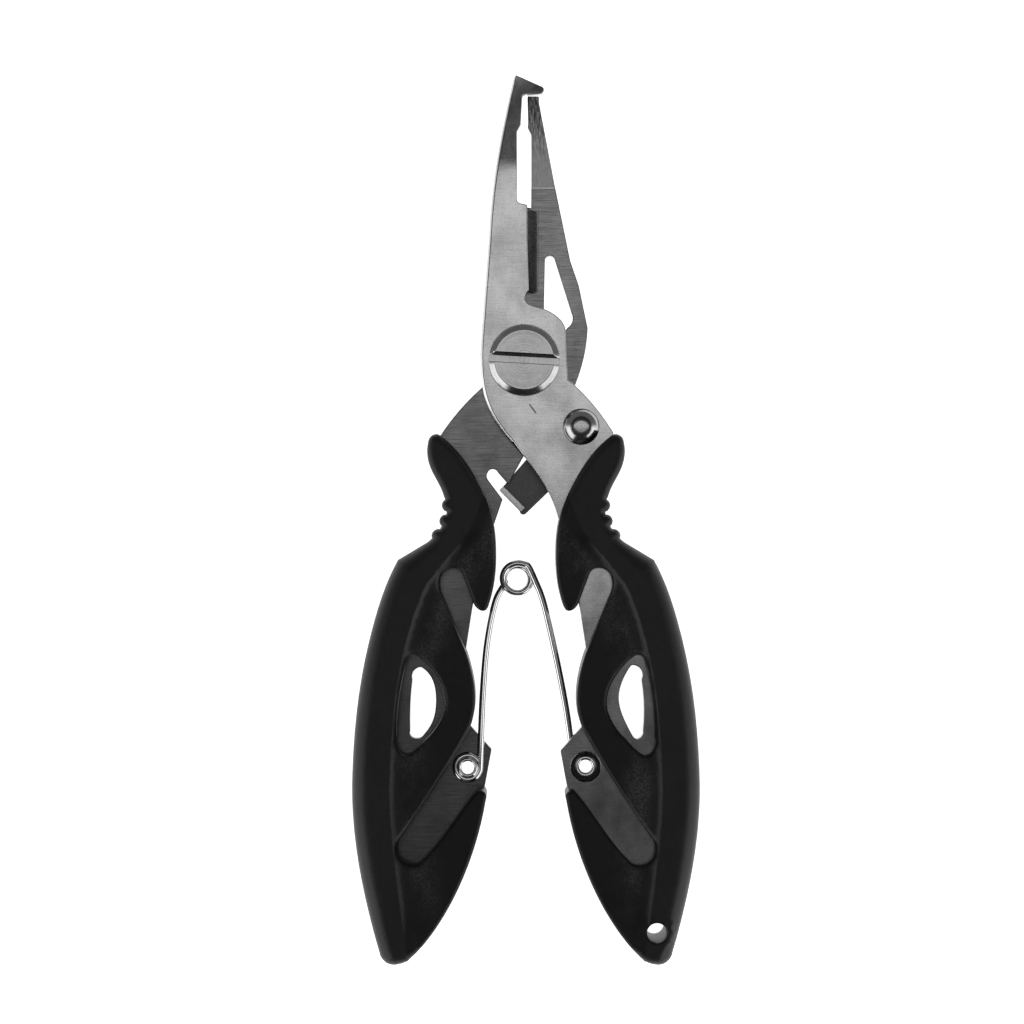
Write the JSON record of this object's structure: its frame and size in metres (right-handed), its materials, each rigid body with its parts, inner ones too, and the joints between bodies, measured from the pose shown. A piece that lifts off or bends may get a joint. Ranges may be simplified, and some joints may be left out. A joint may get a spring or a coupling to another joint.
{
  "type": "fishing pliers",
  "caption": "Fishing pliers with split-ring hook tip, side cutter, finger grips, return spring and swinging lock lever.",
  "frame": {"origin": "on the surface that the closed tool lies on, under the middle of its overall box", "axes": "+Y from the handle ends to the jaw tips, +X from the left grip to the right grip, +Z from the nut side to the screw-head side"},
  "size_m": [0.049, 0.1251, 0.01],
  "materials": {
    "steel_front": "tumbled satin, light",
    "steel_rear": "brushed across, darker",
    "steel_black": "oxide-blackened, with the tab's top ground bright",
    "steel_polished": "polished",
    "grip_black": "fine matte grain"
  },
  "bodies": {
    "front_lever": {"front_lever": "steel_front", "grip_right": "grip_black", "pivot_screw": "steel_polished", "pivot_nut": "steel_polished", "pivot_shim": "steel_polished", "lock_rivet": "steel_polished", "lock_bush": "steel_polished", "spring_rivet_right": "steel_polished", "return_spring": "steel_polished"},
    "rear_lever": {"rear_lever": "steel_rear", "grip_left": "grip_black", "spring_rivet_left": "steel_polished"},
    "lock_lever": {"lock_lever": "steel_black"}
  },
  "joints": [
    {"name": "handle_pivot", "type": "hinge", "parent": "front_lever", "child": "rear_lever", "pos_m": [-0.00025, 0.02225, 0.005], "axis": [0, 0, 1], "range_deg": [-22, 0.8], "stiffness_Nm_per_rad": 0.3, "springref_deg": -34.38, "deforming": ["return_spring"]},
    {"name": "lock_swing", "type": "hinge", "parent": "front_lever", "child": "lock_lever", "pos_m": [0.00775, 0.0129, 0.002], "axis": [0, 0, 1], "range_deg": [-9, 10]}
  ]
}
